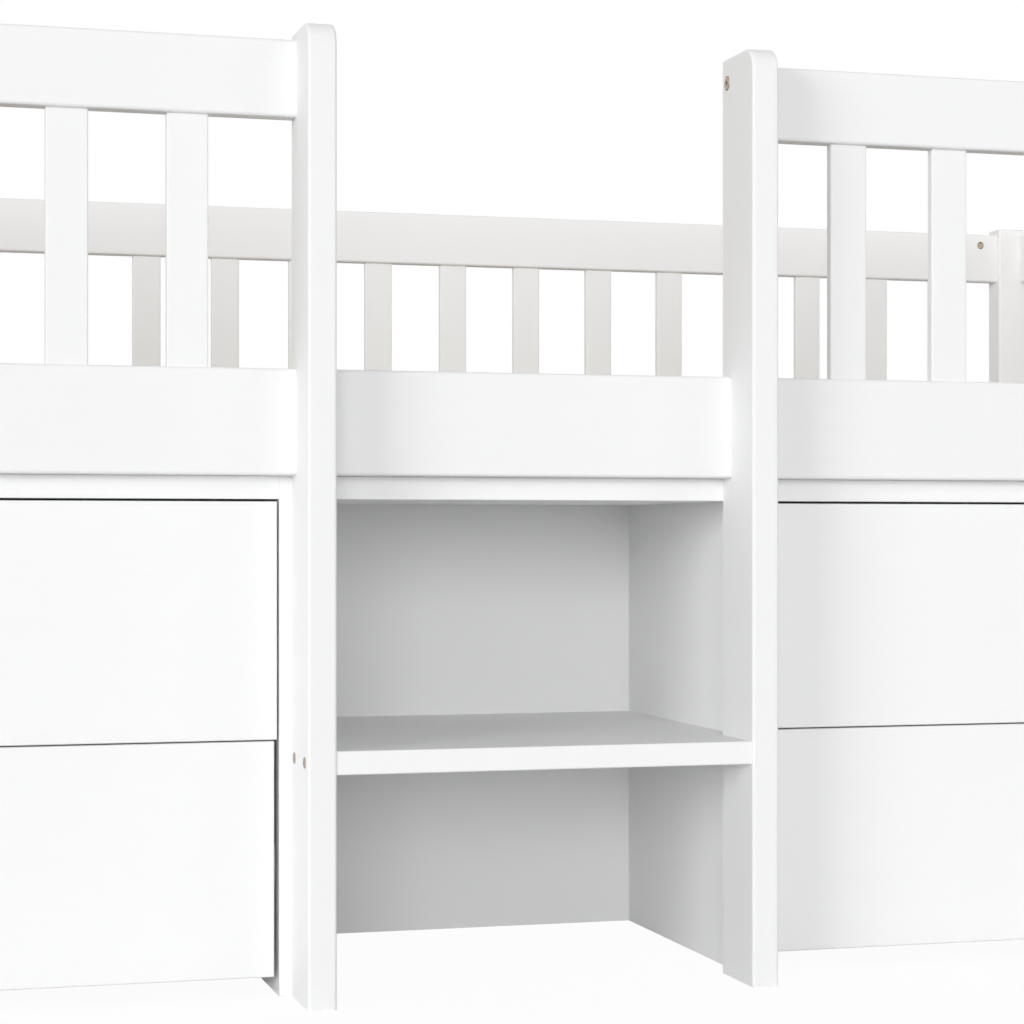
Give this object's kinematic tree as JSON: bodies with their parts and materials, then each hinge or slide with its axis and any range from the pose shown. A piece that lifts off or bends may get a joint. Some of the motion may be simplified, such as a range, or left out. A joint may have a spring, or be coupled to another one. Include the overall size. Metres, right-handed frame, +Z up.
{
  "type": "loft bed",
  "caption": "Low white loft bed for a twin mattress, with slatted guard rails, ladder posts, an open bay with a step shelf, and drawers that slide out under the deck.",
  "frame": {"origin": "floor point under the middle of the bed's overall box", "axes": "+X runs along the bed to the right, +Y from the ladder side to the wall side, +Z up"},
  "size_m": [2.03, 1.0964, 0.803],
  "materials": {
    "white_timber": "solid pine under satin white paint",
    "white_board": "fibreboard under smooth satin white paint",
    "bare_pine": "planed bare pine",
    "slide_steel": "zinc-plated sheet steel",
    "brass_hardware": "antique brass plating"
  },
  "bodies": {
    "frame": {"balusters_end_left": "white_timber", "balusters_end_right": "white_timber", "balusters_front_left": "white_timber", "balusters_front_right": "white_timber", "balusters_rear": "white_timber", "barrel_nuts": "brass_hardware", "bay_back": "white_board", "bay_shelf": "white_board", "bay_top": "white_board", "bolts_long": "brass_hardware", "bolts_short": "brass_hardware", "chest_back_left": "white_board", "chest_back_right": "white_board", "chest_side_inner_left": "white_board", "chest_side_inner_right": "white_board", "chest_side_outer_left": "white_board", "chest_side_outer_right": "white_board", "chest_top_left": "white_board", "chest_top_right": "white_board", "corner_post_front_left": "white_timber", "corner_post_front_right": "white_timber", "corner_post_rear_left": "white_timber", "corner_post_rear_right": "white_timber", "deck_slats": "bare_pine", "dowels": "bare_pine", "end_rail_left": "white_timber", "end_rail_right": "white_timber", "ladder_post_left": "white_timber", "ladder_post_right": "white_timber", "ledger_front": "bare_pine", "ledger_rear": "bare_pine", "side_rail_front": "white_timber", "side_rail_rear": "white_timber", "slide_chest_members": "slide_steel", "top_rail_end_left": "white_timber", "top_rail_end_right": "white_timber", "top_rail_front_left": "white_timber", "top_rail_front_right": "white_timber", "top_rail_rear": "white_timber", "wood_screws": "brass_hardware"},
    "drawer_left_lower": {"drawer_back_left_lower": "white_board", "drawer_floor_left_lower": "white_board", "drawer_front_left_lower": "white_board", "drawer_sides_left_lower": "white_board", "slide_drawer_members_left_lower": "slide_steel"},
    "drawer_left_upper": {"drawer_back_left_upper": "white_board", "drawer_floor_left_upper": "white_board", "drawer_front_left_upper": "white_board", "drawer_sides_left_upper": "white_board", "slide_drawer_members_left_upper": "slide_steel"},
    "drawer_right_lower": {"drawer_back_right_lower": "white_board", "drawer_floor_right_lower": "white_board", "drawer_front_right_lower": "white_board", "drawer_sides_right_lower": "white_board", "slide_drawer_members_right_lower": "slide_steel"},
    "drawer_right_upper": {"drawer_back_right_upper": "white_board", "drawer_floor_right_upper": "white_board", "drawer_front_right_upper": "white_board", "drawer_sides_right_upper": "white_board", "slide_drawer_members_right_upper": "slide_steel"}
  },
  "joints": [
    {"name": "drawer_left_lower_slide", "type": "slide", "parent": "frame", "child": "drawer_left_lower", "axis": [0, -1, 0], "range_m": [0, 0.2]},
    {"name": "drawer_left_upper_slide", "type": "slide", "parent": "frame", "child": "drawer_left_upper", "axis": [0, -1, 0], "range_m": [0, 0.2]},
    {"name": "drawer_right_lower_slide", "type": "slide", "parent": "frame", "child": "drawer_right_lower", "axis": [0, -1, 0], "range_m": [0, 0.2]},
    {"name": "drawer_right_upper_slide", "type": "slide", "parent": "frame", "child": "drawer_right_upper", "axis": [0, -1, 0], "range_m": [0, 0.2]}
  ]
}
